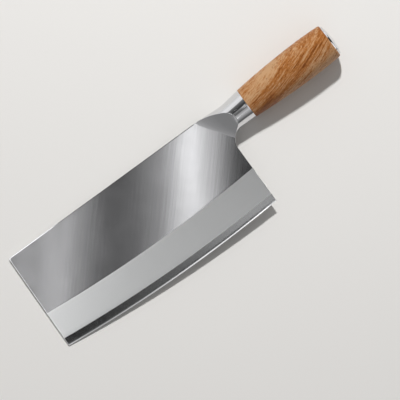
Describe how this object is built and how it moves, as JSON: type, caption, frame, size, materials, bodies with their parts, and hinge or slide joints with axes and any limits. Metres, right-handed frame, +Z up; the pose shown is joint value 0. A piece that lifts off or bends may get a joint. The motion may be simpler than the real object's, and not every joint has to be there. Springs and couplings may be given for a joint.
{
  "type": "chinese cleaver",
  "caption": "Broad rectangular kitchen cleaver with a gently curved edge, a round steel neck with ramped sides and a turned wooden grip with a domed end cap, lying on its side.",
  "frame": {"origin": "middle of the knife's length and width, on the surface that it lies on", "axes": "+X along the knife from toe to butt, +Y across the blade from cutting edge to spine, +Z up from the surface that it lies on. The blade's faces lean by about 3 degrees, because the round grip is thicker than the blade."},
  "size_m": [0.3096, 0.0948, 0.0321],
  "materials": {
    "polished_plate": "mirror-polished above the grind line, satin-ground below it",
    "polished_neck": "bright-polished stainless steel",
    "oiled_wood": "turned, sanded and oiled, with a wavy slanting grain",
    "cured_resin": "cast",
    "plain_steel": "as turned"
  },
  "bodies": {
    "root": {"blade": "polished_plate", "bolster": "polished_neck", "handle_grip": "oiled_wood", "bore_resin": "cured_resin", "tang_rod": "plain_steel", "tang_washer": "plain_steel", "tang_nut": "plain_steel", "end_cap": "polished_neck"}
  },
  "joints": []
}
